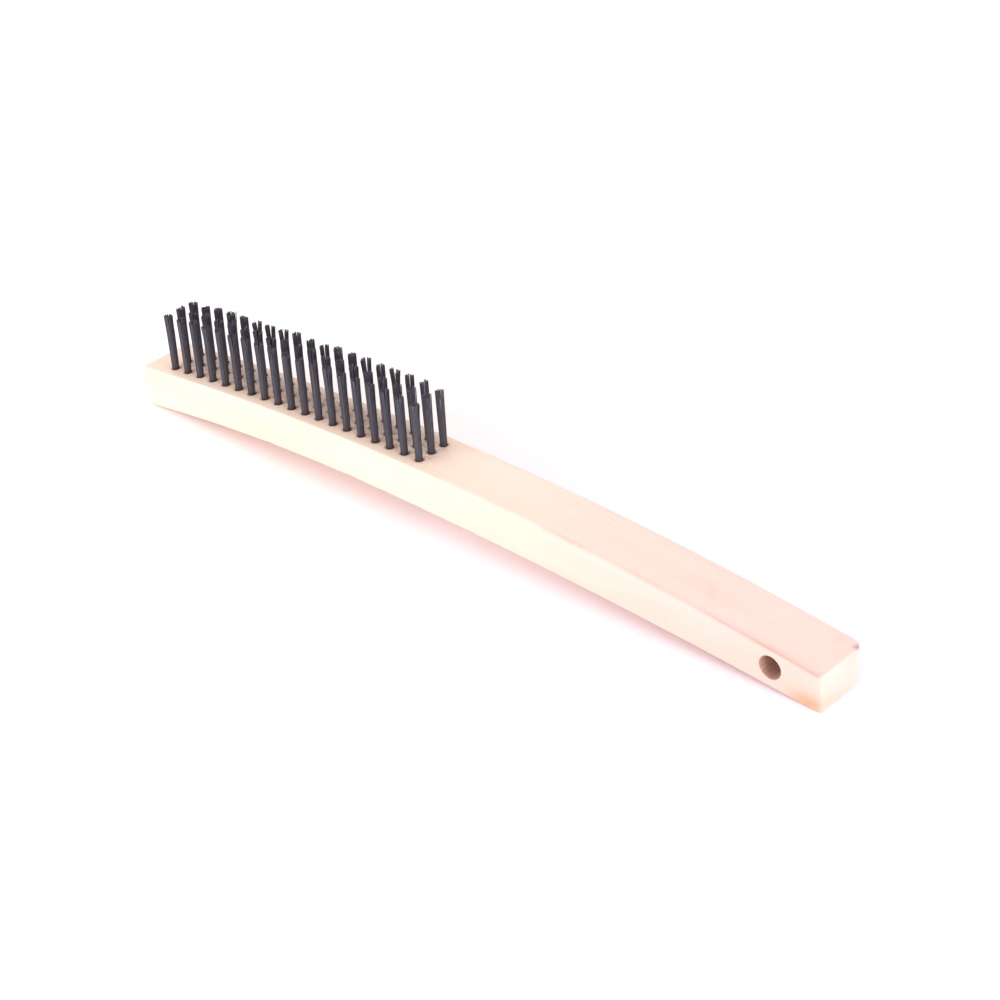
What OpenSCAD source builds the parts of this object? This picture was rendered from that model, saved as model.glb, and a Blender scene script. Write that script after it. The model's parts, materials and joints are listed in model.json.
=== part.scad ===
// Curved-handle wire scratch brush: an arched hardwood handle with three rows
// of folded wire tufts, each held in its hole by a driven U-shaped staple.
// It lies on its back, tufts up, on the two ends of the arch.
// +X runs from the brush head (toe) to the hanging end, +Z is the way the tufts
// point, and the origin is under the middle of the handle, on the resting plane.

/* [Handle] */
// Length from the toe to the hanging end
handle_l = 355.6; // [290:0.1:430]
// Width across the handle
handle_w = 25.4; // [21:0.1:31]
// Height of the toe's end face
toe_t = 17.7; // [14.5:0.1:21.5]
// Height of the hanging end's face
heel_t = 15.5; // [12.5:0.1:19]
// Height of the top curve's highest point above the resting plane
crown_h = 27.7; // [26:0.1:33.5]
// Height of the hollow under the arch
arch_h = 10; // [8:0.1:12]
// Distance of the hollow's highest point from the toe
arch_x = 140; // [115:1:170]
// Length of the flat land that each end rests on
land = 2; // [1:0.1:4]
// Radius of the hanging end's upright corner on the left, -Y side
heel_left_r = 1; // [0.5:0.1:5]
// Radius of the hanging end's upright corner on the right, +Y side
heel_right_r = 4; // [0.5:0.1:5]
// Radius of the toe's two upright corners
toe_corner_r = 1.5; // [0.5:0.1:5]
// Width of the flat that breaks each long upper edge
arris = 0.5; // [0.3:0.1:1]

/* [Hanging hole] */
// Diameter of the cross hole
hang_d = 9.5; // [7.5:0.1:11.5]
// Distance of the cross hole's centre from the hanging end
hang_inset = 21.9; // [18:0.1:27]

/* [Tuft pattern] */
// Tufts in each of the three rows
tufts_per_row = 19; // [2:1:19]
// Distance between tufts along a row
pitch = 8; // [6.5:0.1:9.7]
// Distance between rows
row_gap = 6.9; // [5.7:0.1:8.3]
// Distance of the first tuft from the toe
first_x = 15; // [12:0.1:18]

/* [Tufts] */
// Diameter of a drilled tuft hole
hole_d = 3.2; // [2.6:0.1:4]
// Depth of a drilled tuft hole
hole_depth = 10; // [8:0.1:12]
// Clearance all round between a tuft and its hole
tuft_clear = 0.1; // [0.05:0.01:0.2]
// Length of wire that stands out of the wood
trim_l = 25.5; // [21:0.1:31]
// Most that a cut end lies above or below that length
trim_scatter = 0.8; // [0:0.1:1.5]
// Diameter of a tuft at its cut end
tip_d = 3.3; // [2.8:0.1:4]
// Gap between a tuft's two halves at its cut end
tip_gap = 0.8; // [0.3:0.1:1]
// Length over which a tuft's two halves stand apart
parted_l = 9; // [4:0.1:16]

/* [Staples] */
// Diameter of the staple wire
staple_d = 0.8; // [0.6:0.05:1]
// How far each leg is driven into the wood below the hole
leg_bite = 3.5; // [2.5:0.1:4.2]
// Clearance between a staple and the wires or the wood round it
staple_clear = 0.04; // [0.02:0.01:0.06]
// Angle between the handle and the line along which a tuft parts in two
parting_angle = 45; // [0:5:90]

/* [Hidden] */
ROW_NAMES = ["left", "middle", "right"];
middle_row = 1;
toe_x = -handle_l / 2;
heel_x = handle_l / 2;

// the top is one arc through both end faces' top edges and the crown
toe_drop = crown_h - toe_t;
heel_drop = crown_h - heel_t;
chord_term = toe_drop * (pow(handle_l, 2) + pow(heel_drop, 2) - toe_drop * heel_drop);
crown_x = chord_term
    / (toe_drop * handle_l
       + sqrt(pow(toe_drop * handle_l, 2) + (heel_drop - toe_drop) * chord_term));
top_r = (pow(crown_x, 2) + pow(toe_drop, 2)) / (2 * toe_drop);

// the underside is two arcs that meet level at the hollow's highest point
under_toe_r = (pow(arch_x - land, 2) + pow(arch_h, 2)) / (2 * arch_h);
under_heel_r = (pow(handle_l - land - arch_x, 2) + pow(arch_h, 2)) / (2 * arch_h);

// a staple's legs stand just inside the wall of the tuft's hole
leg_offset = (hole_d - staple_d) / 2 - tuft_clear;
root_d = hole_d - 2 * tuft_clear;

// the fold fits between the legs, and its corners keep the tuft's clearance from the wall
fold_w = 2 * leg_offset - staple_d - 2 * staple_clear;
fold_r = sqrt(pow(root_d, 2) - pow(fold_w, 2)) / 2;
fold_t = fold_r - staple_d / 2;
crown_up = fold_r + tuft_clear;

cut_over = 1;
arc_fn = 1440;
arch_steps = 60;
hole_fn = 32;
hang_fn = 64;
staple_fn = 16;
golden_turn = 137.5;

function tuft_name(row, n) = str("tuft_", ROW_NAMES[row], n < 10 ? "_0" : "_", n);
function tuft_x(n) = toe_x + first_x + (n - 1) * pitch;
function tuft_y(row) = (row - middle_row) * row_gap;
function top_z(x) = crown_h - top_r + sqrt(pow(top_r, 2) - pow(x - toe_x - crown_x, 2));
function under_r(x) = x - toe_x < arch_x ? under_toe_r : under_heel_r;
function under_z(x) =
    arch_h - under_r(x) + sqrt(pow(under_r(x), 2) - pow(x - toe_x - arch_x, 2));
function hole_floor(n) = top_z(tuft_x(n)) - hole_depth;
// each half of each tuft is cut a little long or short, in a fixed pattern
function trimmed(row, n, half) =
    trim_l + trim_scatter * sin(golden_turn * (2 * (tufts_per_row * row + n) + half));

hang_x = heel_x - hang_inset;
hang_z = (top_z(hang_x) + under_z(hang_x)) / 2;

// One side of the plan outline, from the middle line out to its two upright corners
module plan_side(side, heel_r) {
    half_w = handle_w / 2;
    low = side < 0 ? -1 : 0;
    translate([toe_x + toe_corner_r, low * half_w])
        square([handle_l - toe_corner_r - heel_r, half_w]);
    translate([toe_x, low * (half_w - toe_corner_r)])
        square([2 * toe_corner_r, half_w - toe_corner_r]);
    translate([heel_x - 2 * heel_r, low * (half_w - heel_r)])
        square([2 * heel_r, half_w - heel_r]);
    translate([toe_x + toe_corner_r, side * (half_w - toe_corner_r)])
        circle(r = toe_corner_r, $fn = hole_fn);
    translate([heel_x - heel_r, side * (half_w - heel_r)])
        circle(r = heel_r, $fn = hole_fn);
}

// Plan outline of the handle: a core down its whole length, and its two sides
module handle_plan() {
    core_w = handle_w - 2 * max(toe_corner_r, heel_left_r, heel_right_r);
    translate([toe_x, -core_w / 2])
        square([handle_l, core_w]);
    plan_side(-1, heel_left_r);
    plan_side(1, heel_right_r);
}

// Disc whose rim is the handle's top curve, with both edges of the rim broken
module top_disc() {
    half_w = handle_w / 2;
    translate([toe_x + crown_x, 0, crown_h - top_r])
        rotate([90, 0, 0])
            rotate_extrude($fn = arc_fn)
                polygon([[0, -half_w], [top_r - arris, -half_w], [top_r, -half_w + arris],
                         [top_r, half_w - arris], [top_r - arris, half_w], [0, half_w]]);
}

// The hollow under the arch, cut right across the handle between the two lands
module under_hollow() {
    curve = [for (i = [0:arch_steps])
             let (x = toe_x + land + i * (handle_l - 2 * land) / arch_steps) [x, under_z(x)]];
    rotate([90, 0, 0])
        linear_extrude(height = handle_w + 2 * cut_over, center = true)
            polygon(concat([[toe_x + land, -cut_over]], curve, [[heel_x - land, -cut_over]]));
}

// The shaped blank before it is drilled
module handle_blank() {
    difference() {
        intersection() {
            linear_extrude(height = crown_h)
                handle_plan();
            top_disc();
        }
        under_hollow();
    }
}

// Drilled hole for one tuft, with the two slots that its staple's legs cut
module tuft_hole(row, n) {
    translate([tuft_x(n), tuft_y(row), hole_floor(n)]) {
        cylinder(d = hole_d, h = hole_depth + crown_h, $fn = hole_fn);
        rotate([0, 0, parting_angle])
            for (side = [-1, 1])
                translate([0, side * leg_offset, -leg_bite - staple_clear])
                    cylinder(d = staple_d + 2 * staple_clear, h = leg_bite + cut_over, $fn = staple_fn);
    }
}

module handle() {
    color("burlywood")
        difference() {
            handle_blank();
            for (row = [0:len(ROW_NAMES) - 1], n = [1:tufts_per_row])
                tuft_hole(row, n);
            translate([hang_x, 0, hang_z])
                rotate([90, 0, 0])
                    cylinder(d = hang_d, h = 2 * handle_w, center = true, $fn = hang_fn);
        }
}

// The wires above the staple: straight in the hole, then flaring slightly to their
// cut ends, and parted in two halves near those ends
module tuft_bundle(row, n) {
    above = hole_depth - crown_up - staple_d / 2 - staple_clear;
    full_h = above + trim_l + trim_scatter + cut_over;
    top_d = root_d + (tip_d - root_d) * (full_h - above) / trim_l;
    slot_start = above + trim_l - parted_l;
    slot_w = tip_gap * (full_h - slot_start) / parted_l;
    difference() {
        rotate_extrude($fn = hole_fn)
            polygon([[0, 0], [root_d / 2, 0], [root_d / 2, above],
                     [top_d / 2, full_h], [0, full_h]]);
        rotate([90, 0, 0])
            linear_extrude(height = 2 * tip_d, center = true)
                polygon([[0, slot_start], [slot_w / 2, full_h], [-slot_w / 2, full_h]]);
        for (half = [0, 1])
            translate([(half - 1) * tip_d, -tip_d, above + trimmed(row, n, half)])
                cube([tip_d, 2 * tip_d, 2 * (trim_scatter + cut_over)]);
    }
}

// Wires folded round the staple's crossbar at the bottom of the hole
module tuft_fold() {
    rise = staple_d / 2 + staple_clear;
    difference() {
        rotate([90, 0, 0])
            cylinder(r = fold_r, h = fold_w, center = true, $fn = hole_fn);
        rotate([90, 0, 0])
            cylinder(r = rise, h = 2 * hole_d, center = true, $fn = hole_fn);
        translate([-hole_d, -hole_d, rise + fold_t / 2])
            cube(2 * hole_d);
    }
}

module tuft(row, n) {
    color("dimgray")
        translate([tuft_x(n), tuft_y(row), hole_floor(n) + crown_up])
            rotate([0, 0, parting_angle]) {
                tuft_fold();
                translate([0, 0, staple_d / 2 + staple_clear])
                    tuft_bundle(row, n);
            }
}

// One staple, with its crossbar through a tuft's fold
module staple() {
    leg_l = crown_up + leg_bite;
    rotate([90, 0, 0])
        cylinder(d = staple_d, h = 2 * leg_offset, center = true, $fn = staple_fn);
    for (side = [-1, 1])
        translate([0, side * leg_offset, 0]) {
            sphere(d = staple_d, $fn = staple_fn);
            translate([0, 0, -leg_l])
                cylinder(d = staple_d, h = leg_l, $fn = staple_fn);
        }
}

module staples() {
    color("silver")
        for (row = [0:len(ROW_NAMES) - 1], n = [1:tufts_per_row])
            translate([tuft_x(n), tuft_y(row), hole_floor(n) + crown_up])
                rotate([0, 0, parting_angle])
                    staple();
}

handle();
staples();
for (row = [0:len(ROW_NAMES) - 1], n = [1:tufts_per_row])
    tuft(row, n);
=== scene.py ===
"""Curved-handle wire scratch brush: beech handle and folded wire tufts in a pale studio."""

import json
import logging
import math
import random
from dataclasses import dataclass, field
from enum import Enum
from typing import Sequence

import bpy
from mathutils import Matrix, Vector, noise
from mathutils.bvhtree import BVHTree


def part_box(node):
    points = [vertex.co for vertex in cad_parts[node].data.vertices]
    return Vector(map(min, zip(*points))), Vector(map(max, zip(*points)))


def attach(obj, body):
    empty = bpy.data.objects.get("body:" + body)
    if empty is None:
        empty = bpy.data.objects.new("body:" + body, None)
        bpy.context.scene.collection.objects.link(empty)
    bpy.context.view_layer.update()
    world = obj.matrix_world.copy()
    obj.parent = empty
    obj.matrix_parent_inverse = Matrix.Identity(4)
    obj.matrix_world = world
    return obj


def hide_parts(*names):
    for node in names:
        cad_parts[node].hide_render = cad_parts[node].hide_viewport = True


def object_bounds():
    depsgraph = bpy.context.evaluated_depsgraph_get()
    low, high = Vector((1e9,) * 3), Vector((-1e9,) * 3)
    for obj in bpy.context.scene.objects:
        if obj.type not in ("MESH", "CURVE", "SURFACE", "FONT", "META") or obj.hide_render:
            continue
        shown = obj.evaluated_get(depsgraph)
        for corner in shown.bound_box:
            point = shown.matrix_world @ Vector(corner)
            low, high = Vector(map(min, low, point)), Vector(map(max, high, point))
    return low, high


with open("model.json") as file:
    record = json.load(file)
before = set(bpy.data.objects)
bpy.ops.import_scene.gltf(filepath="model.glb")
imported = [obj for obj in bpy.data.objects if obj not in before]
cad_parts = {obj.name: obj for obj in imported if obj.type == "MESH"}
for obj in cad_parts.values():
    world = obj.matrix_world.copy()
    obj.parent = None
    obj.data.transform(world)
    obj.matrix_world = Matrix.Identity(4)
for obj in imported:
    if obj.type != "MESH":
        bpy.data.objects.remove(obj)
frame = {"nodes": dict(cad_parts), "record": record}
CAD_LOW, CAD_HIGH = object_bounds()
BODY = "root"
MM = 0.001
UP = Vector((0.0, 0.0, 1.0))

log = logging.getLogger("scratch_brush")

Colour = tuple[float, float, float]
Scale = tuple[float, float, float]


class Row(Enum):
    """The three rows of tufts, named as the hand that holds the brush sees them."""

    LEFT = "left"
    MIDDLE = "middle"
    RIGHT = "right"


def lerp(a: float, b: float, t: float) -> float:
    """Returns the value that lies the share t of the way from a to b."""
    return a + (b - a) * t


def smooth_step(t: float) -> float:
    """Returns t limited to 0..1 and eased at both ends."""
    t = min(max(t, 0.0), 1.0)
    return t * t * (3.0 - 2.0 * t)


class NodeGraph:
    """A material's node tree with short calls to add and join its nodes."""

    def __init__(self, name: str) -> None:
        """Makes an empty material.

        Args:
            name: The material's name.
        """
        self.material = bpy.data.materials.new(name)
        self.material.use_nodes = True
        self.tree = self.material.node_tree
        self.tree.nodes.clear()
        self.shader = self.tree.nodes.new("ShaderNodeBsdfPrincipled")
        out = self.tree.nodes.new("ShaderNodeOutputMaterial")
        self.tree.links.new(self.shader.outputs[0], out.inputs["Surface"])

    def add(self, kind: str, inputs: dict | None = None, **settings: object) -> bpy.types.Node:
        """Adds one node.

        Args:
            kind: The node's type after "ShaderNode".
            inputs: Socket name or number to a value, or to an output socket to link.
            settings: The node's own settings.

        Returns:
            The new node.
        """
        node = self.tree.nodes.new("ShaderNode" + kind)
        for key, value in settings.items():
            setattr(node, key, value)
        for key, value in (inputs or {}).items():
            self.feed(node.inputs[key], value)
        return node

    def feed(self, socket: bpy.types.NodeSocket, value: object) -> None:
        """Sets a socket to a value, or links an output socket to it.

        Args:
            socket: The input socket.
            value: The value, or the output socket to link.
        """
        if isinstance(value, bpy.types.NodeSocket):
            self.tree.links.new(value, socket)
        else:
            socket.default_value = value

    def math(self, operation: str, a: object, b: object = 0.0) -> bpy.types.NodeSocket:
        """Returns the result of one Math node on a and b."""
        return self.add("Math", {0: a, 1: b}, operation=operation).outputs[0]

    def grain_space(self, scale: Sequence[float]) -> bpy.types.NodeSocket:
        """Returns the object's coordinates, each axis multiplied by its own scale."""
        place = self.add("TexCoord").outputs["Object"]
        return self.add("Mapping", {"Vector": place, "Scale": tuple(scale)}).outputs[0]

    def noise(self, vector: bpy.types.NodeSocket, scale: float, detail: float = 3.0,
              roughness: float = 0.5) -> bpy.types.NodeSocket:
        """Adds a noise texture.

        Args:
            vector: The coordinates that it is read at.
            scale: Its scale.
            detail: How many finer layers it has.
            roughness: How strongly the finer layers are felt.

        Returns:
            Its value, from 0 to 1.
        """
        made = self.add("TexNoise", {"Vector": vector, "Scale": scale, "Detail": detail,
                                     "Roughness": roughness})
        return made.outputs["Fac"]

    def ramp(self, value: bpy.types.NodeSocket, low: float, high: float,
             to_low: float = 0.0, to_high: float = 1.0) -> bpy.types.NodeSocket:
        """Moves a value from one range to another, eased and limited.

        Args:
            value: The value.
            low: The start of its range.
            high: The end of its range.
            to_low: What low becomes.
            to_high: What high becomes.

        Returns:
            The moved value.
        """
        made = self.add("MapRange", {"Value": value, "From Min": low, "From Max": high,
                                     "To Min": to_low, "To Max": to_high},
                        interpolation_type="SMOOTHSTEP")
        return made.outputs[0]

    def blend(self, share: object, first: object, second: object,
              mode: str = "MIX") -> bpy.types.NodeSocket:
        """Blends one colour into another.

        Args:
            share: How much of the second colour is felt.
            first: The first colour.
            second: The second colour.
            mode: How they are blended.

        Returns:
            The blended colour.
        """
        node = self.add("Mix", data_type="RGBA", blend_type=mode)
        self.feed(node.inputs["Factor"], share)
        for socket, value in ((node.inputs[6], first), (node.inputs[7], second)):
            self.feed(socket, (*value, 1.0) if isinstance(value, tuple) else value)
        return node.outputs[2]

    def bump(self, height: bpy.types.NodeSocket, strength: float, distance: float) -> None:
        """Roughens the shader's surface.

        Args:
            height: The height that is felt.
            strength: How strongly it is felt.
            distance: How high a height of 1 stands.
        """
        made = self.add("Bump", {"Height": height, "Strength": strength, "Distance": distance})
        self.tree.links.new(made.outputs[0], self.shader.inputs["Normal"])


@dataclass(frozen=True)
class HolePattern:
    """Where the drilled tuft holes lie, which the painted shade at their mouths follows."""

    first_x: float
    last_x: float
    pitch: float
    row_gap: float
    hole_r: float


@dataclass(frozen=True)
class BeechFinish:
    """Bare sanded beech: growth rings and short dark flecks, with painted light along the board and
    painted shade at the hole mouths, among the tufts, in the hanging hole and on two marked edges.
    """

    pattern: HolePattern
    bore: Vector
    bore_r: float
    pale: Colour = (0.86, 0.65, 0.58)
    warm: Colour = (0.84, 0.60, 0.51)
    late_wood: Colour = (0.62, 0.39, 0.30)
    # Painted shade among the tufts
    fleck: Colour = (0.42, 0.24, 0.17)
    field: Colour = (0.56, 0.33, 0.28)
    # Painted light along the board, partly the wood's own tone: a paler lit toe and a darker, pinker
    # heel in shade
    toe_light_tone: Colour = (1.0, 1.05, 0.97)
    heel_shade_tone: Colour = (0.97, 0.865, 0.885)
    tone_from: float = -60.0 * MM
    tone_to: float = 160.0 * MM
    # Painted shade round the hole mouths
    mouth_shade: Colour = (0.34, 0.15, 0.09)
    # Painted shade inside the hanging hole
    bore_shade: Colour = (0.30, 0.15, 0.11)
    # Also paints the shade of the rounded lower edge at the heel chip and on the near upper edge
    torn: Colour = (0.80, 0.30, 0.15)
    # Painted shade: the line along the near upper edge and the nick at the heel
    painted_shade: Colour = (0.28, 0.20, 0.17)
    late_share: float = 0.05
    streak_share: float = 0.10
    fleck_share: float = 0.3
    field_shade_share: float = 0.55
    mouth_shade_share: float = 0.8
    ring_gap: float = 2.3 * MM
    ring_lean: float = 0.035
    ring_wave: float = 0.012
    pith_y: float = -0.075
    pith_z: float = -0.060
    drift_grain: Scale = (5.0, 30.0, 30.0)
    ragged_grain: Scale = (900.0, 900.0, 900.0)
    scored_grain: Scale = (1400.0, 90.0, 1400.0)
    mottle_grain: Scale = (700.0, 900.0, 900.0)
    blotch_grain: Scale = (9.0, 60.0, 60.0)
    streak_grain: Scale = (26.0, 1500.0, 1500.0)
    dash_grain: Scale = (300.0, 2600.0, 2600.0)
    gloss_grain: Scale = (60.0, 700.0, 700.0)
    fibre_grain: Scale = (45.0, 3200.0, 3200.0)

    def rings(self, graph: NodeGraph) -> bpy.types.NodeSocket:
        """Adds the growth rings, as rings round a pith that lies outside the handle.

        Args:
            graph: The material that the nodes are added to.

        Returns:
            A saw-toothed value, 0 in early wood rising to 1 at each late-wood line.
        """
        place = graph.add("SeparateXYZ", {0: graph.add("TexCoord").outputs["Object"]})
        drift = graph.noise(graph.grain_space(self.drift_grain), 1.0, 2.0)
        across = graph.math("SUBTRACT", place.outputs[1], self.pith_y)
        upward = graph.math("SUBTRACT", place.outputs[2], self.pith_z)
        reach = graph.math("SQRT", graph.math("ADD", graph.math("MULTIPLY", across, across),
                                              graph.math("MULTIPLY", upward, upward)))
        leaning = graph.math("ADD", reach, graph.math("MULTIPLY", place.outputs[0], self.ring_lean))
        wavy = graph.math("ADD", leaning, graph.math("MULTIPLY", drift, self.ring_wave))
        return graph.math("FRACT", graph.math("DIVIDE", wavy, self.ring_gap))

    def hole_mouth_shade(self, graph: NodeGraph) -> bpy.types.NodeSocket:
        """Adds painted shade at the mouths of the tuft holes. It has no limit in height.

        Args:
            graph: The material that the nodes are added to.

        Returns:
            A share that is 1 at each hole and fades out round it.
        """
        place = graph.add("SeparateXYZ", {0: graph.add("TexCoord").outputs["Object"]})
        pattern = self.pattern
        start = graph.math("SUBTRACT", place.outputs[0], pattern.first_x)
        along = graph.math("PINGPONG", start, pattern.pitch / 2)
        aside = graph.math("PINGPONG", place.outputs[1], pattern.row_gap / 2)
        gap = graph.math("SQRT", graph.math("ADD", graph.math("MULTIPLY", along, along),
                                            graph.math("MULTIPLY", aside, aside)))
        ragged = graph.noise(graph.grain_space(self.ragged_grain), 1.0, 2.0)
        reach = graph.math("ADD", gap, graph.math("MULTIPLY", ragged, -0.9 * MM))
        near_hole = graph.ramp(reach, pattern.hole_r - 0.45 * MM, pattern.hole_r + 0.55 * MM,
                               1.0, 0.0)
        beyond = pattern.last_x + pattern.hole_r + MM
        before = pattern.first_x - pattern.hole_r - MM
        inside = graph.math("MULTIPLY", graph.math("LESS_THAN", place.outputs[0], beyond),
                            graph.math("GREATER_THAN", place.outputs[0], before))
        edge = pattern.row_gap + pattern.hole_r + MM
        within = graph.math("LESS_THAN", graph.math("ABSOLUTE", place.outputs[1]), edge)
        return graph.math("MULTIPLY", near_hole, graph.math("MULTIPLY", inside, within))

    def bore_wall_shade(self, graph: NodeGraph) -> bpy.types.NodeSocket:
        """Adds painted shade on the wall of the hanging hole, streaked by the scoring noise.

        Args:
            graph: The material that the nodes are added to.

        Returns:
            A share that is highest on the wall of the hole and 0 beyond its rim.
        """
        place = graph.add("SeparateXYZ", {0: graph.add("TexCoord").outputs["Object"]})
        along = graph.math("SUBTRACT", place.outputs[0], self.bore.x)
        upward = graph.math("SUBTRACT", place.outputs[2], self.bore.z)
        reach = graph.math("SQRT", graph.math("ADD", graph.math("MULTIPLY", along, along),
                                              graph.math("MULTIPLY", upward, upward)))
        wall = graph.ramp(reach, self.bore_r + 0.05 * MM, self.bore_r + 0.3 * MM, 1.0, 0.0)
        scored = graph.noise(graph.grain_space(self.scored_grain), 1.0, 2.0)
        return graph.math("MULTIPLY", wall, graph.ramp(scored, 0.3, 0.7, 0.5, 0.7))

    def field_shade(self, graph: NodeGraph) -> bpy.types.NodeSocket:
        """Adds the mottled painted shade among the tufts. It has no limit in height.

        Args:
            graph: The material that the nodes are added to.

        Returns:
            A share, at most 1, that fades out beyond the tufts.
        """
        place = graph.add("SeparateXYZ", {0: graph.add("TexCoord").outputs["Object"]})
        pattern = self.pattern
        middle = (pattern.first_x + pattern.last_x) / 2
        half = (pattern.last_x - pattern.first_x) / 2
        off = graph.math("ABSOLUTE", graph.math("SUBTRACT", place.outputs[0], middle))
        along = graph.ramp(off, half, half + pattern.pitch, 1.0, 0.0)
        aside = graph.ramp(graph.math("ABSOLUTE", place.outputs[1]), pattern.row_gap,
                           pattern.row_gap + pattern.pitch / 2, 1.0, 0.0)
        mottle = graph.noise(graph.grain_space(self.mottle_grain), 1.0, 2.0)
        cloud = graph.ramp(mottle, 0.44, 0.6, 0.1, 1.0)
        return graph.math("MULTIPLY", cloud, graph.math("MULTIPLY", along, aside))

    def board_light_tone(self, graph: NodeGraph) -> bpy.types.NodeSocket:
        """Adds the change of tone along the board, partly the wood's own tone and partly painted
        light: a paler lit toe and a darker, pinker heel in shade.

        Args:
            graph: The material that the nodes are added to.

        Returns:
            The tone, which multiplies the wood's colour.
        """
        place = graph.add("SeparateXYZ", {0: graph.add("TexCoord").outputs["Object"]})
        share = graph.ramp(place.outputs[0], self.tone_from, self.tone_to)
        return graph.blend(share, self.toe_light_tone, self.heel_shade_tone)

    def build(self, name: str) -> bpy.types.Material:
        """Makes the material.

        Args:
            name: The material's name.

        Returns:
            The finished material.
        """
        graph = NodeGraph(name)
        ring = self.rings(graph)
        late = graph.ramp(ring, 0.55, 0.97)
        blotch = graph.noise(graph.grain_space(self.blotch_grain), 1.0, 3.0)
        colour = graph.blend(graph.ramp(blotch, 0.3, 0.7), self.pale, self.warm)
        # Painted light along the board, partly the wood's own tone
        colour = graph.blend(1.0, colour, self.board_light_tone(graph), "MULTIPLY")
        colour = graph.blend(graph.math("MULTIPLY", late, self.late_share), colour, self.late_wood)
        streak = graph.noise(graph.grain_space(self.streak_grain), 1.0, 3.0, 0.6)
        streaks = graph.ramp(streak, 0.52, 0.75, 0.0, self.streak_share)
        colour = graph.blend(streaks, colour, self.late_wood)
        dash = graph.noise(graph.grain_space(self.dash_grain), 1.0, 1.0)
        dashes = graph.ramp(dash, 0.70, 0.78)
        colour = graph.blend(graph.math("MULTIPLY", dashes, self.fleck_share), colour, self.fleck)
        # Painted shade among the tufts
        tint = graph.math("MULTIPLY", self.field_shade(graph), self.field_shade_share)
        colour = graph.blend(tint, colour, self.field)
        # Painted shade round the hole mouths
        mouth = graph.math("MULTIPLY", self.hole_mouth_shade(graph), self.mouth_shade_share)
        colour = graph.blend(mouth, colour, self.mouth_shade)
        # Torn tint of the knocks, partly painted shade at the heel chip and the near upper edge
        bruise_and_shade = graph.add("Attribute", attribute_name="bruise_and_shade").outputs["Fac"]
        colour = graph.blend(bruise_and_shade, colour, self.torn)
        # Painted shade: the line along the near upper edge and the nick at the heel
        painted_shade = graph.add("Attribute", attribute_name="painted_shade").outputs["Fac"]
        colour = graph.blend(painted_shade, colour, self.painted_shade)
        # Painted shade inside the hanging hole
        colour = graph.blend(self.bore_wall_shade(graph), colour, self.bore_shade)
        graph.feed(graph.shader.inputs["Base Color"], colour)
        gloss = graph.noise(graph.grain_space(self.gloss_grain), 1.0, 2.0)
        graph.feed(graph.shader.inputs["Roughness"], graph.ramp(gloss, 0.2, 0.8, 0.48, 0.68))
        graph.shader.inputs["Specular IOR Level"].default_value = 0.35
        fibres = graph.noise(graph.grain_space(self.fibre_grain), 1.0, 3.0, 0.65)
        height = graph.math("SUBTRACT", fibres, graph.math("MULTIPLY", dashes, 0.8))
        height = graph.math("SUBTRACT", height, graph.math("MULTIPLY", late, 0.25))
        graph.bump(height, 0.25, 0.08 * MM)
        return graph.material


@dataclass(frozen=True)
class TemperedWireFinish:
    """Dark oil-tempered steel wire, each wire a slightly different grey."""

    dark: Colour = (0.09, 0.09, 0.112)
    light: Colour = (0.165, 0.167, 0.2)
    scale: Colour = (0.09, 0.085, 0.09)
    drawn_grain: Scale = (2600.0, 2600.0, 120.0)

    def build(self, name: str) -> bpy.types.Material:
        """Makes the material.

        Args:
            name: The material's name.

        Returns:
            The finished material.
        """
        graph = NodeGraph(name)
        each_wire = graph.add("NewGeometry").outputs["Random Per Island"]
        colour = graph.blend(each_wire, self.dark, self.light)
        drawn = graph.noise(graph.grain_space(self.drawn_grain), 1.0, 2.0)
        colour = graph.blend(graph.ramp(drawn, 0.45, 0.75, 0.0, 0.35), colour, self.scale)
        graph.feed(graph.shader.inputs["Base Color"], colour)
        graph.shader.inputs["Metallic"].default_value = 1.0
        graph.feed(graph.shader.inputs["Roughness"], graph.ramp(drawn, 0.25, 0.75, 0.48, 0.62))
        graph.bump(drawn, 0.2, 0.02 * MM)
        return graph.material


@dataclass(frozen=True)
class BrightWireFinish:
    """Bright drawn staple wire."""

    steel: Colour = (0.52, 0.52, 0.53)
    tarnish: Colour = (0.34, 0.31, 0.28)
    cloud_grain: Scale = (900.0, 900.0, 900.0)

    def build(self, name: str) -> bpy.types.Material:
        """Makes the material.

        Args:
            name: The material's name.

        Returns:
            The finished material.
        """
        graph = NodeGraph(name)
        cloud = graph.noise(graph.grain_space(self.cloud_grain), 1.0, 3.0)
        colour = graph.blend(graph.ramp(cloud, 0.45, 0.7), self.steel, self.tarnish)
        graph.feed(graph.shader.inputs["Base Color"], colour)
        graph.shader.inputs["Metallic"].default_value = 1.0
        graph.feed(graph.shader.inputs["Roughness"], graph.ramp(cloud, 0.2, 0.8, 0.25, 0.42))
        graph.bump(cloud, 0.1, 0.02 * MM)
        return graph.material


@dataclass(frozen=True)
class PaperFinish:
    """Matt white card that the brush lies on, tinted along its length to paint the colour of the
    shadows on it: warm bounced light near the toe, mauve shade towards the heel.
    """

    # Painted shadow tint: pink bounced light near the toe, mauve shade towards the heel
    toe_light_tone: Colour = (0.98, 0.86, 0.85)
    heel_shade_tone: Colour = (0.93, 0.855, 0.895)
    tone_from: float = -0.12
    tone_to: float = 0.03

    def build(self, name: str) -> bpy.types.Material:
        """Makes the material.

        Args:
            name: The material's name.

        Returns:
            The finished material.
        """
        graph = NodeGraph(name)
        place = graph.add("SeparateXYZ", {0: graph.add("TexCoord").outputs["Object"]})
        share = graph.ramp(place.outputs[0], self.tone_from, self.tone_to)
        # Painted tint of the shadows on the card
        colour = graph.blend(share, self.toe_light_tone, self.heel_shade_tone)
        graph.feed(graph.shader.inputs["Base Color"], colour)
        graph.shader.inputs["Roughness"].default_value = 0.9
        graph.shader.inputs["Specular IOR Level"].default_value = 0.1
        return graph.material


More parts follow.
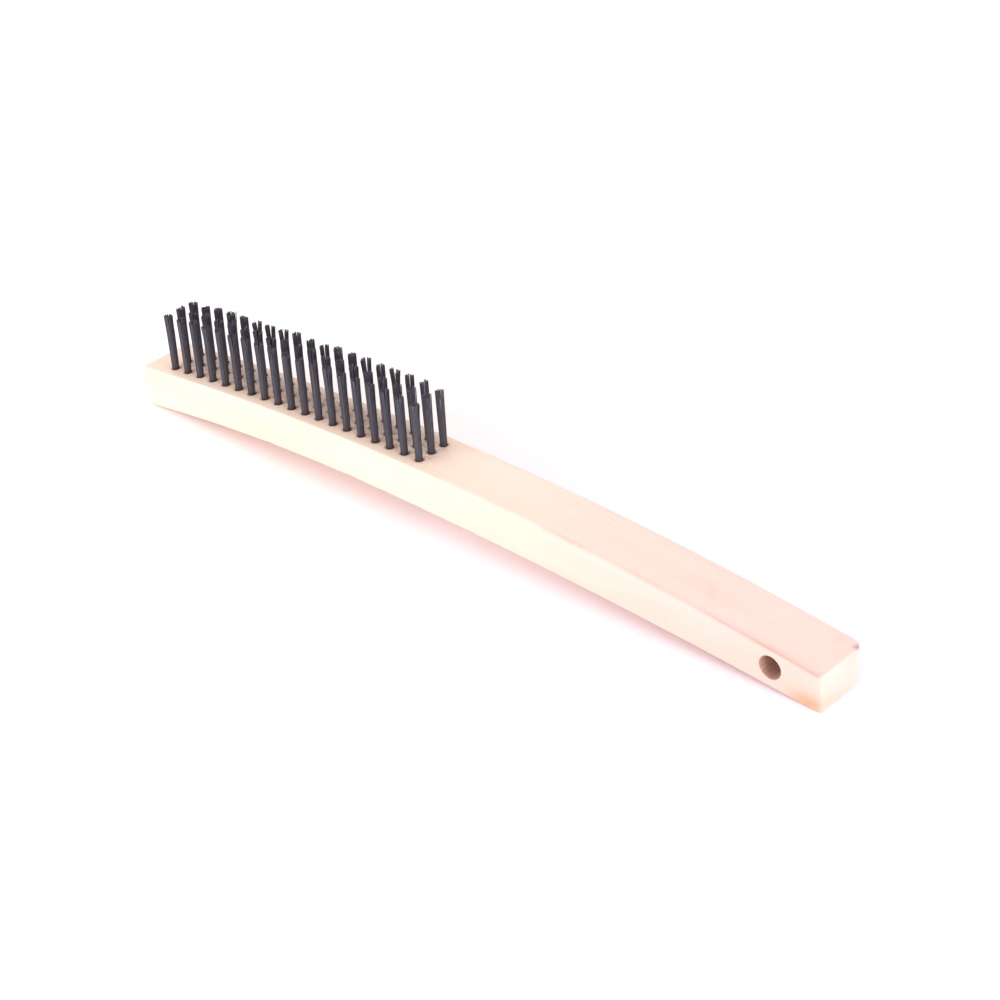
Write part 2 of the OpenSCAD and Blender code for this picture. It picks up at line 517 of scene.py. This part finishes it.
class MeshMaker:
    """Points and faces that are gathered and then made into one object."""

    def __init__(self) -> None:
        """Starts with nothing gathered."""
        self.points: list[Vector] = []
        self.faces: list[tuple[int, ...]] = []

    def ring(self, points: Sequence[Vector]) -> list[int]:
        """Adds points.

        Args:
            points: The points.

        Returns:
            Their numbers.
        """
        start = len(self.points)
        self.points.extend(points)
        return list(range(start, start + len(points)))

    def bridge(self, first: Sequence[int], second: Sequence[int]) -> None:
        """Joins two closed rings of the same count with a band of faces.

        Args:
            first: The numbers of one ring's points.
            second: The numbers of the other ring's points.
        """
        count = len(first)
        for i in range(count):
            j = (i + 1) % count
            self.faces.append((first[i], first[j], second[j], second[i]))

    def cap(self, ring: Sequence[int], flipped: bool = False) -> None:
        """Closes a ring with one flat face."""
        self.faces.append(tuple(reversed(ring)) if flipped else tuple(ring))

    def tube(self, path: Sequence[Vector], radius: float, sides: int, lean: float) -> None:
        """Sweeps a round wire along a path and closes both ends.

        Args:
            path: The points that the wire's middle follows.
            radius: The wire's radius.
            sides: How many sides its section has.
            lean: How far the two cut ends slope, as rise over width.
        """
        heading = (path[1] - path[0]).normalized()
        side = heading.cross(Vector((0.31, 0.95, 0.05))).normalized()
        previous: list[int] = []
        last = len(path) - 1
        for i, at in enumerate(path):
            ahead = (path[min(i + 1, last)] - path[max(i - 1, 0)]).normalized()
            side = (side - ahead * side.dot(ahead)).normalized()
            other = ahead.cross(side)
            slope = lean if i in (0, last) else 0.0
            points = []
            for k in range(sides):
                angle = 2 * math.pi * k / sides
                rim = side * math.cos(angle) + other * math.sin(angle)
                points.append(at + rim * radius + ahead * (slope * radius * math.cos(angle)))
            current = self.ring(points)
            if previous:
                self.bridge(previous, current)
            else:
                self.cap(current, flipped=True)
            previous = current
        self.cap(previous)

    def finish(self, name: str) -> bpy.types.Object:
        """Makes the object and links it into the scene.

        Args:
            name: The object's name.

        Returns:
            The new object.
        """
        mesh = bpy.data.meshes.new(name)
        mesh.from_pydata([tuple(p) for p in self.points], [], self.faces)
        mesh.validate()
        mesh.shade_smooth()
        made = bpy.data.objects.new(name, mesh)
        bpy.context.scene.collection.objects.link(made)
        return made


class HandleSurvey:
    """Heights of the CAD handle's top and underside, felt out with rays."""

    END_CLEAR = 0.01 * MM
    RAY_START = 1.0

    def __init__(self, clear_y: float) -> None:
        """Readies the survey.

        Args:
            clear_y: Distance from the middle of a line along the handle with no hole in it.
        """
        self.low, self.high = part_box("handle")
        self.clear_y = clear_y
        depsgraph = bpy.context.evaluated_depsgraph_get()
        self.tree = BVHTree.FromObject(frame["nodes"]["handle"], depsgraph)

    def inside(self, x: float) -> float:
        """Returns x kept just within the handle's length."""
        return min(max(x, self.low.x + self.END_CLEAR), self.high.x - self.END_CLEAR)

    def top(self, x: float) -> float:
        """Finds the height of the top curve.

        Args:
            x: The place along the handle.

        Returns:
            The height.
        """
        start = Vector((self.inside(x), self.clear_y, self.high.z + self.RAY_START))
        return self.tree.ray_cast(start, -UP)[0].z

    def under(self, x: float) -> float:
        """Finds the height of the underside.

        Args:
            x: The place along the handle.

        Returns:
            The height.
        """
        start = Vector((self.inside(x), self.clear_y, self.low.z - self.RAY_START))
        return self.tree.ray_cast(start, UP)[0].z


@dataclass
class Dent:
    """A knock, chip or rough patch on the wood, or a spot of painted shade."""

    at: Vector
    reach: Vector
    depth: float
    bruise_and_shade: float

    def share(self, point: Vector) -> float:
        """Tells how strongly the dent is felt at a point.

        Args:
            point: The point.

        Returns:
            A share from 0 to 1.
        """
        off = point - self.at
        spread = sum((off[k] / self.reach[k]) ** 2 for k in range(3))
        return math.exp(-spread)


@dataclass
class BeechHandle:
    """The arched handle, with eased edges, drilled tuft holes and a hanging hole."""

    survey: HandleSurvey
    tuft_places: list[tuple[float, float]]
    hole_r: float
    hole_depth: float
    upper_round: float = 0.45 * MM
    lower_round: float = 0.5 * MM
    end_round: float = 0.3 * MM
    heel_left: float = 1.0 * MM
    heel_right: float = 4.0 * MM
    toe_corner: float = 1.5 * MM
    station_gap: float = 1.2 * MM
    side_steps: int = 14
    face_steps: int = 12
    corner_steps: int = 4
    wobble: float = 0.10 * MM
    wave_along: float = 28.0
    wave_across: float = 130.0
    land_height: float = 0.05 * MM
    felt_least: float = 0.01
    rough_least: float = 0.6
    rough_range: float = 0.8
    rough_scale: float = 900.0
    torn_least: float = 0.8
    torn_range: float = 0.5
    torn_scale: float = 700.0
    rim_ease: float = 0.3 * MM
    arris_line: float = 0.5 * MM
    line_start: float = 50.0 * MM
    line_least: float = 0.4
    line_scale: float = 55.0
    mouth_tear: float = 0.10
    mouth_sides: int = 20
    bore_sides: int = 72
    mouth_seed: int = 11
    sharp_angle: float = math.radians(38)
    dents: list[Dent] = field(default_factory=list)
    shade_spots: list[Dent] = field(default_factory=list)

    def half_width(self, x: float, heel_corner: float) -> float:
        """Finds one side's distance from the middle, with its upright corners rounded.

        Args:
            x: The place along the handle.
            heel_corner: The radius of that side's corner at the heel.

        Returns:
            The distance.
        """
        half = self.survey.high.y
        for corner, gap in ((self.toe_corner, x - self.survey.low.x),
                            (heel_corner, self.survey.high.x - x)):
            if gap < corner:
                half -= corner - math.sqrt(max(corner ** 2 - (corner - gap) ** 2, 0.0))
        return half

    def section(self, x: float, inset: float) -> list[Vector]:
        """Outlines one cross-section.

        Args:
            x: Where the section stands along the handle.
            inset: How far its outline is drawn in, for the rounded end edges.

        Returns:
            Its points, from the right upper edge over the top and round.
        """
        right = self.half_width(x, self.heel_right) - inset
        left = inset - self.half_width(x, self.heel_left)
        top = self.survey.top(x) - inset
        low = self.survey.under(x) + inset
        points: list[Vector] = []
        corners = ((right, top, self.upper_round, 0), (left, top, self.upper_round, 1),
                   (left, low, self.lower_round, 2), (right, low, self.lower_round, 3))
        runs = (self.side_steps, self.face_steps, self.side_steps, self.face_steps)
        arcs = []
        for y, z, radius, quarter in corners:
            mid_y = y - math.copysign(radius, y)
            mid_z = z - radius if quarter < 2 else z + radius
            arcs.append([Vector((x, mid_y + radius * math.cos(a), mid_z + radius * math.sin(a)))
                         for a in (math.pi / 2 * (quarter + k / self.corner_steps)
                                   for k in range(self.corner_steps + 1))])
        for quarter, arc in enumerate(arcs):
            points.extend(arc)
            start, end = arc[-1], arcs[(quarter + 1) % 4][0]
            steps = runs[(quarter + 1) % 4]
            points.extend(start.lerp(end, k / steps) for k in range(1, steps))
        return points

    def stations(self) -> list[tuple[float, float]]:
        """Spaces out the cross-sections, closer together at the rounded end edges.

        Returns:
            The place and inset of each one, from the toe to the heel.
        """
        low, high = self.survey.low.x, self.survey.high.x
        eased = [(self.end_round * (1 - math.sin(a)), self.end_round * (1 - math.cos(a)))
                 for a in (math.pi / 2 * k / 4 for k in range(5))]
        toe = [(low + rise, inset) for inset, rise in eased]
        heel = [(high - rise, inset) for inset, rise in reversed(eased)]
        start, end = low + self.end_round, high - self.end_round
        count = round((end - start) / self.station_gap)
        middle = [(lerp(start, end, i / count), 0.0) for i in range(1, count)]
        return toe + middle + heel

    def weathered(self, point: Vector) -> Vector:
        """Pushes a surface point in, as hand work and knocks have.

        Args:
            point: The point before the wear.

        Returns:
            The worn point.
        """
        centre = Vector((point.x, 0.0, (self.survey.top(point.x) + self.survey.under(point.x)) / 2))
        inward = (centre - point).normalized()
        wave = 0.5 + 0.5 * noise.noise(Vector((point.x * self.wave_along, point.y * self.wave_across,
                                               point.z * self.wave_across)))
        depth = self.wobble * wave
        for dent in self.dents:
            felt = dent.share(point)
            if felt > self.felt_least:
                rough = abs(noise.noise(point * self.rough_scale))
                depth += dent.depth * felt * (self.rough_least + self.rough_range * rough)
        on_land = point.z < self.land_height
        return point if on_land else point + inward * depth

    def torn_and_shaded(self, point: Vector) -> float:
        """Tells how strongly knocks have torn the wood; at the heel chip and on the near upper edge
        the torn tint is painted shade.

        Args:
            point: The point on the finished surface.

        Returns:
            A share, at most 1.
        """
        torn = self.torn_least + self.torn_range * abs(noise.noise(point * self.torn_scale))
        return min(1.0, torn * max((d.bruise_and_shade * d.share(point) for d in self.dents), default=0.0))

    def painted_shade(self, point: Vector) -> float:
        """Tells how much painted shade the wood gets: the painted nick spots, and a dark line along
        the near upper edge towards the heel.

        Args:
            point: The point on the finished surface.

        Returns:
            A share from 0 to 1.
        """
        spot = max((d.bruise_and_shade * d.share(point) for d in self.shade_spots), default=0.0)
        if point.x < self.line_start or point.y > 0.0:
            return spot
        # Painted shade line along the near upper edge
        off_y = (point.y - self.survey.low.y) / self.arris_line
        off_z = (point.z - self.survey.top(point.x)) / self.arris_line
        patch = 0.5 + noise.noise(Vector((point.x * self.line_scale, 0.0, 0.0)))
        patchy = lerp(self.line_least, 1.0, patch)
        fading = smooth_step((point.x - self.line_start) / (self.survey.high.x - self.line_start))
        line = patchy * lerp(self.line_least, 1.0, fading) * math.exp(-off_y ** 2 - off_z ** 2)
        return max(spot, line)

    def shell(self) -> bpy.types.Object:
        """Makes the worn blank, before it is drilled.

        Returns:
            The blank, one closed mesh.
        """
        maker = MeshMaker()
        previous: list[int] = []
        for x, inset in self.stations():
            current = maker.ring([self.weathered(p) for p in self.section(x, inset)])
            if previous:
                maker.bridge(current, previous)
            else:
                maker.cap(current)
            previous = current
        maker.cap(previous, flipped=True)
        return maker.finish("beech_handle")

    def mark(self, made: bpy.types.Object) -> None:
        """Stores the torn tint, part of which is painted shade, and the painted shade of each point
        of the drilled handle.

        Args:
            made: The drilled handle.
        """
        for name, felt in (("bruise_and_shade", self.torn_and_shaded), ("painted_shade", self.painted_shade)):
            layer = made.data.attributes.new(name, "FLOAT", "POINT")
            layer.data.foreach_set("value", [felt(v.co) for v in made.data.vertices])

    def drill_bit(self, maker: MeshMaker, at: Vector, rng: random.Random) -> None:
        """Adds the shape that cuts one tuft hole, with a slightly torn mouth.

        Args:
            maker: The mesh that the shape is added to.
            at: The middle of the hole's mouth.
            rng: The random numbers that shape the mouth.
        """
        steps = self.mouth_sides
        tear = [1.0 + self.mouth_tear * rng.random() for _ in range(steps)]
        # Height, share of the hole's radius and raggedness of each ring
        levels = ((-self.hole_depth, 1.0, 0.0), (-0.5 * MM, 1.0, 0.0), (-0.12 * MM, 1.03, 0.4),
                  (0.15 * MM, 1.10, 1.0), (1.5 * MM, 1.10, 1.0))
        previous: list[int] = []
        for rise, widen, torn in levels:
            points = []
            for k in range(steps):
                angle = 2 * math.pi * k / steps
                radius = self.hole_r * widen * lerp(1.0, tear[k], torn)
                points.append(at + Vector((radius * math.cos(angle),
                                           radius * math.sin(angle), rise)))
            current = maker.ring(points)
            if previous:
                maker.bridge(previous, current)
            else:
                maker.cap(current, flipped=True)
            previous = current
        maker.cap(previous)

    def cross_bit(self, maker: MeshMaker) -> None:
        """Adds the shape that cuts the hanging hole, with both rims eased.

        Args:
            maker: The mesh that the shape is added to.
        """
        mount = next(m for m in frame["record"]["mounts"] if m["name"] == "hang_hole")
        at = Vector(mount["pos_m"])
        radius = mount["dims"]["r_mm"] * MM
        half = mount["dims"]["length_mm"] * MM / 2
        steps = self.bore_sides
        ease = self.rim_ease
        levels = [(-half - ease, radius + 2 * ease), (-half + ease, radius),
                  (half - ease, radius), (half + ease, radius + 2 * ease)]
        previous: list[int] = []
        for y, wide in levels:
            points = [at + Vector((wide * math.cos(a), y, -wide * math.sin(a)))
                      for a in (2 * math.pi * k / steps for k in range(steps))]
            current = maker.ring(points)
            if previous:
                maker.bridge(previous, current)
            else:
                maker.cap(current, flipped=True)
            previous = current
        maker.cap(previous)

    def cut(self, blank: bpy.types.Object, bits: bpy.types.Object) -> None:
        """Cuts one object's shape out of another and removes the cutter.

        Args:
            blank: The object that is cut.
            bits: The cutter.
        """
        step = blank.modifiers.new("drilled", "BOOLEAN")
        step.operation = "DIFFERENCE"
        step.solver = "EXACT"
        step.object = bits
        depsgraph = bpy.context.evaluated_depsgraph_get()
        drilled = bpy.data.meshes.new_from_object(blank.evaluated_get(depsgraph))
        blank.modifiers.clear()
        blank.data = drilled
        bpy.data.objects.remove(bits)

    def build(self, finish: BeechFinish) -> bpy.types.Object:
        """Makes the whole handle and sets it in place of the CAD one.

        Args:
            finish: The wood's finish.

        Returns:
            The handle's object.
        """
        rng = random.Random(self.mouth_seed)
        blank = self.shell()
        maker = MeshMaker()
        for x, y in self.tuft_places:
            self.drill_bit(maker, Vector((x, y, self.survey.top(x))), rng)
        self.cross_bit(maker)
        self.cut(blank, maker.finish("drill_bits"))
        self.mark(blank)
        blank.data.shade_smooth()
        blank.data.set_sharp_from_angle(angle=self.sharp_angle)
        blank.data.materials.clear()
        blank.data.materials.append(finish.build("sanded_beech"))
        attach(blank, BODY)
        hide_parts("handle")
        return blank


# How far from the parting line each half of a row's tufts has swung at most
OPENING = {Row.LEFT: 0.25 * MM, Row.MIDDLE: 0.45 * MM, Row.RIGHT: 0.75 * MM}


@dataclass
class WireTuft:
    """One tuft: hairpins of wire folded round a staple at the bottom of its hole."""

    row: Row
    number: int
    survey: HandleSurvey
    wire_r: float = 0.19 * MM
    spacing: float = 0.40 * MM
    root_r: float = 1.58 * MM
    tip_spread: float = 1.3
    stray_share: float = 0.03
    top_clear: float = 0.2 * MM
    fold_squeeze: float = 0.42
    staple_r: float = 0.42 * MM
    fold_rise: float = 1.35 * MM
    sides: int = 6
    rise_steps: int = 9
    turn_steps: int = 4
    parting: float = math.radians(45)
    opening_power: int = 3
    swing_power: float = 1.3
    parts_low: float = 0.55
    parts_high: float = 0.85
    lean_mm: float = 0.08
    end_mm: float = 0.6
    slant: float = 0.25
    jitter_mm: float = 0.04
    tip_least: float = 0.9
    stray_mm: float = 0.6
    length_mm: float = 0.45
    bow_mm: float = 0.05
    fold_open: float = 0.45
    cut_lean: float = 0.6
    sharp_angle: float = math.radians(65)

    @property
    def node(self) -> str:
        """The name of this tuft's CAD node."""
        return f"tuft_{self.row.value}_{self.number:02d}"

    def packed(self) -> list[tuple[float, float]]:
        """Packs one half's wires closely.

        Returns:
            Where each wire stands: its distance from the parting line, and along it.
        """
        places = []
        lift = self.spacing * math.sqrt(3) / 2
        reach = self.root_r - self.wire_r
        layer = 0
        out = self.wire_r * 1.1
        while out <= reach:
            half = math.sqrt(reach ** 2 - out ** 2)
            shift = self.spacing / 2 * (layer % 2)
            count = int((half - shift) / self.spacing)
            first = -count if shift == 0 else -count - 1
            for k in range(first, count + 1):
                along = k * self.spacing + shift
                if abs(along) <= half:
                    places.append((out, along))
            out += lift
            layer += 1
        return places

    def drawn_aside(self, rng: random.Random, most_mm: float) -> Vector:
        """Draws a small sideways offset.

        Args:
            rng: The tuft's random numbers.
            most_mm: How far it may be along each axis, in millimetres.

        Returns:
            The offset.
        """
        x = rng.uniform(-most_mm, most_mm)
        y = rng.uniform(-most_mm, most_mm)
        return Vector((x, y, 0.0)) * MM

    def build(self, material: bpy.types.Material) -> bpy.types.Object:
        """Makes the tuft and sets it in place of its CAD solid.

        Args:
            material: The wire's material.

        Returns:
            The tuft's object.
        """
        low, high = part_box(self.node)
        rng = random.Random(f"{self.row.value}{self.number}")
        middle = (low + high) / 2
        wood = self.survey.top(middle.x)
        apart = Vector((math.cos(self.parting), math.sin(self.parting), 0.0))
        along = Vector((-apart.y, apart.x, 0.0))
        crown = Vector((middle.x, middle.y, low.z + self.fold_rise))
        opening = OPENING[self.row] * rng.random() ** self.opening_power
        parts_at = rng.uniform(self.parts_low, self.parts_high)
        leans = [self.drawn_aside(rng, self.lean_mm) for _ in range(2)]
        ends = [rng.uniform(0.0, self.end_mm) * MM for _ in range(2)]
        slants = [rng.uniform(-self.slant, self.slant) for _ in range(2)]
        maker = MeshMaker()
        for out, side in self.packed():
            legs = []
            for half in (0, 1):
                sign = (-1, 1)[half]
                jitter = rng.uniform(-self.jitter_mm, self.jitter_mm) * MM
                stray = rng.random()
                root = apart * (sign * out) + along * (side + jitter)
                tip = root * (self.tip_spread * rng.uniform(self.tip_least, 1.0))
                swing = apart * (sign * opening) + leans[half]
                if stray > 1.0 - self.stray_share:
                    swing += self.drawn_aside(rng, self.stray_mm)
                uneven = rng.uniform(0.0, self.length_mm) * MM
                short = ends[half] + uneven + slants[half] * (side + self.root_r)
                bow = self.drawn_aside(rng, self.bow_mm)
                top = high.z - self.top_clear - max(short, 0.0)
                leg = []
                for step in range(self.rise_steps + 1):
                    share = step / self.rise_steps
                    parted = max(share - parts_at, 0.0) / (1.0 - parts_at)
                    place = root.lerp(tip, share) + bow * math.sin(math.pi * share)
                    place += swing * parted ** self.swing_power
                    leg.append(Vector((middle.x, middle.y, lerp(wood, top, share))) + place)
                legs.append(leg)
            ring = self.staple_r + self.wire_r + out * self.fold_open
            fold = []
            for step in range(self.turn_steps + 1):
                angle = math.pi * (1 + step / self.turn_steps)
                fold.append(crown + apart * (ring * math.cos(angle)) + UP * (ring * math.sin(angle))
                            + along * (side * self.fold_squeeze))
            path = list(reversed(legs[0])) + fold + legs[1]
            maker.tube(path, self.wire_r, self.sides, rng.uniform(-self.cut_lean, self.cut_lean))
        made = maker.finish("wire_" + self.node)
        made.data.materials.append(material)
        made.data.set_sharp_from_angle(angle=self.sharp_angle)
        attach(made, BODY)
        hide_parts(self.node)
        return made


@dataclass
class BrushHead:
    """All the tufts of the brush and the staples that hold them."""

    survey: HandleSurvey
    tufts: list[WireTuft] = field(default_factory=list)

    def __post_init__(self) -> None:
        """Finds the tufts in the frame."""
        for row in Row:
            names = sorted(n for n in frame["nodes"] if n.startswith(f"tuft_{row.value}_"))
            self.tufts += [WireTuft(row, int(n[-2:]), self.survey) for n in names]

    def places(self) -> list[tuple[float, float]]:
        """Finds the middle of each tuft.

        Returns:
            Its place along and across the handle.
        """
        middles = [sum(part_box(t.node), Vector()) / 2 for t in self.tufts]
        return [(m.x, m.y) for m in middles]

    def pattern(self, hole_r: float) -> HolePattern:
        """Works out the grid that the tuft holes lie on.

        Args:
            hole_r: The radius of the holes.

        Returns:
            The grid.
        """
        places = self.places()
        per_row = len(places) // len(Row)
        first, last, across = places[0], places[per_row - 1], places[-1]
        pitch = (last[0] - first[0]) / (per_row - 1)
        return HolePattern(first[0], last[0], pitch, (across[1] - first[1]) / 2, hole_r)

    def build(self, wire: TemperedWireFinish, bright: BrightWireFinish) -> None:
        """Makes every tuft and dresses the staples.

        Args:
            wire: The tufts' finish.
            bright: The staples' finish.
        """
        material = wire.build("tempered_wire")
        for tuft in self.tufts:
            made = tuft.build(material)
            log.info("%s: %d faces", made.name, len(made.data.polygons))
        staples = frame["nodes"]["staples"]
        staples.data.materials.clear()
        staples.data.materials.append(bright.build("bright_wire"))
        log.info("staples dressed")


@dataclass
class Studio:
    """Pale floor, soft lights and the camera."""

    azimuth: float = 44.89
    elevation: float = 32.43
    roll: float = -4.19
    distance: float = 1.016
    lens: float = 94.67
    aim_offset: Vector = field(default_factory=lambda: Vector((0.0098, 0.0069, -0.0138)))
    floor_size: float = 8.0
    air_strength: float = 1.1
    front_power: float = 11.0
    heel_power: float = 17.0

    def floor(self, finish: PaperFinish) -> None:
        """Lays the floor under the lowest point of the brush.

        Args:
            finish: The floor's finish.
        """
        half = self.floor_size / 2
        maker = MeshMaker()
        corners = [Vector((-half, -half, CAD_LOW.z)), Vector((half, -half, CAD_LOW.z)),
                   Vector((half, half, CAD_LOW.z)), Vector((-half, half, CAD_LOW.z))]
        maker.cap(maker.ring(corners))
        made = maker.finish("studio_floor")
        made.data.materials.append(finish.build("white_card"))

    def lamp(self, name: str, at: Vector, size: float, power: float, tint: Colour) -> None:
        """Hangs one soft square light that faces the brush.

        Args:
            name: The light's name.
            at: Where it hangs.
            size: The length of its side.
            power: Its power in watts.
            tint: Its colour.
        """
        data = bpy.data.lights.new(name, "AREA")
        data.size = size
        data.energy = power
        data.color = tint
        made = bpy.data.objects.new(name, data)
        made.location = at
        made.rotation_mode = "QUATERNION"
        made.rotation_quaternion = (-at).to_track_quat("-Z", "Y")
        bpy.context.scene.collection.objects.link(made)

    def lights(self) -> None:
        """Sets the white surroundings and the soft lights."""
        world = bpy.data.worlds.new("studio_air")
        world.use_nodes = True
        air = world.node_tree.nodes["Background"]
        air.inputs["Color"].default_value = (1.0, 1.0, 1.0, 1.0)
        air.inputs["Strength"].default_value = self.air_strength
        bpy.context.scene.world = world
        self.lamp("front_left", Vector((-0.8, -1.1, 0.45)), size=0.8, power=self.front_power,
                  tint=(1.0, 1.0, 0.99))
        self.lamp("heel_side", Vector((1.6, -0.3, 0.35)), size=0.7, power=self.heel_power,
                  tint=(1.0, 1.0, 1.0))
        scene = bpy.context.scene
        scene.view_settings.view_transform = "Standard"
        scene.view_settings.exposure = 0.0

    def camera(self) -> None:
        """Stands the camera where it sees the brush from the heel's near side."""
        data = bpy.data.cameras.new("studio_camera")
        data.lens = self.lens
        data.sensor_width = 36.0
        data.clip_start, data.clip_end = 0.01, 50.0
        azimuth, elevation, roll = map(math.radians, (self.azimuth, self.elevation, self.roll))
        back = Vector((math.sin(azimuth) * math.cos(elevation),
                       -math.cos(azimuth) * math.cos(elevation), math.sin(elevation)))
        right = UP.cross(back).normalized()
        above = back.cross(right)
        turned_right = right * math.cos(roll) + above * math.sin(roll)
        turned_above = above * math.cos(roll) - right * math.sin(roll)
        made = bpy.data.objects.new("studio_camera", data)
        basis = Matrix((turned_right, turned_above, back)).transposed()
        aim = (CAD_LOW + CAD_HIGH) / 2 + self.aim_offset
        made.matrix_world = Matrix.Translation(aim + back * self.distance) @ basis.to_4x4()
        bpy.context.scene.collection.objects.link(made)
        bpy.context.scene.camera = made

    def build(self) -> None:
        """Makes the whole studio."""
        self.camera()
        self.floor(PaperFinish())
        self.lights()


KNOCK_SEED = 5
SMEAR_SPOTS = 5
SMALL_KNOCKS = 30


def knocks(survey: HandleSurvey) -> list[Dent]:
    """Lists the dents and rough patches that handling has left on the wood, two of which carry
    painted shade.

    Args:
        survey: The handle's heights.

    Returns:
        The chip, whose orange tint is painted shade of the rounded lower edge at the heel, a painted
        shade mark on the near upper edge, the patches at both ends, the smear on the top and small
        knocks.
    """
    rng = random.Random(KNOCK_SEED)
    low, high = survey.low, survey.high
    dents = [
        # Chip at the heel's near lower edge: a shallow dent whose orange tint is painted shade of
        # the rounded edge turning away from the light
        Dent(Vector((high.x - 5 * MM, low.y, survey.under(high.x - 5 * MM) + 2 * MM)),
             Vector((8.0, 1.8, 3.6)) * MM, depth=0.35 * MM, bruise_and_shade=0.9),
        Dent(Vector((high.x - 7 * MM, high.y - 3.5 * MM, survey.top(high.x - 7 * MM))),
             Vector((4.0, 3.0, 1.0)) * MM, depth=0.0, bruise_and_shade=0.14),
        # Painted shade on the near upper edge
        Dent(Vector((high.x - 21 * MM, low.y, survey.top(high.x - 21 * MM))),
             Vector((9.0, 0.7, 0.7)) * MM, depth=0.05 * MM, bruise_and_shade=0.3),
        Dent(Vector((low.x, low.y + 2 * MM, survey.under(low.x))),
             Vector((2.5, 3.0, 1.6)) * MM, depth=0.4 * MM, bruise_and_shade=0.25)]
    smear_start, smear_end = Vector((118.5, 2.5, 0.0)) * MM, Vector((125.0, -7.0, 0.0)) * MM
    for k in range(SMEAR_SPOTS):
        at = smear_start.lerp(smear_end, k / (SMEAR_SPOTS - 1))
        at.z = survey.top(at.x)
        dents.append(Dent(at, Vector((1.3, 1.7, 1.0)) * MM, depth=0.0, bruise_and_shade=0.16))
    for _ in range(SMALL_KNOCKS):
        x = rng.uniform(low.x, high.x)
        y = rng.choice((low.y, high.y))
        z = survey.top(x) if rng.random() < 0.5 else survey.under(x)
        dents.append(Dent(Vector((x, y, z)), Vector((rng.uniform(0.8, 5.0), 0.9, 0.9)) * MM,
                          depth=rng.uniform(0.05, 0.2) * MM, bruise_and_shade=rng.uniform(0.02, 0.2)))
    return dents


def nick_shade_spots(survey: HandleSurvey) -> list[Dent]:
    """Lists the spots of painted shade.

    Args:
        survey: The handle's heights.

    Returns:
        One spot, painted shade of the dark nick at the heel's far upper corner.
    """
    x = survey.high.x - 0.7 * MM
    return [Dent(Vector((x, survey.high.y - 2.9 * MM, survey.top(x))),
                 Vector((1.2, 1.6, 1.0)) * MM, depth=0.0, bruise_and_shade=1.0)]


# The radius of the drilled tuft holes, and how far they go below the folds
HOLE_R = 1.6 * MM
HOLE_CLEAR = 0.1 * MM


def main() -> None:
    """Builds the brush and its studio."""
    logging.basicConfig(level=logging.INFO, format="%(name)s: %(message)s")
    left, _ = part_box("tuft_left_01")
    survey = HandleSurvey(clear_y=left.y / 2)
    Studio().build()
    head = BrushHead(survey)
    first_low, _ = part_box(head.tufts[0].node)
    x, _ = head.places()[0]
    handle = BeechHandle(survey, head.places(), hole_r=HOLE_R,
                         hole_depth=survey.top(x) - first_low.z + HOLE_CLEAR,
                         dents=knocks(survey), shade_spots=nick_shade_spots(survey))
    mount = next(m for m in frame["record"]["mounts"] if m["name"] == "hang_hole")
    finish = BeechFinish(head.pattern(handle.hole_r), Vector(mount["pos_m"]),
                         mount["dims"]["r_mm"] * MM)
    made = handle.build(finish)
    log.info("%s: %d faces", made.name, len(made.data.polygons))
    head.build(TemperedWireFinish(), BrightWireFinish())


if __name__ == "__main__":
    main()
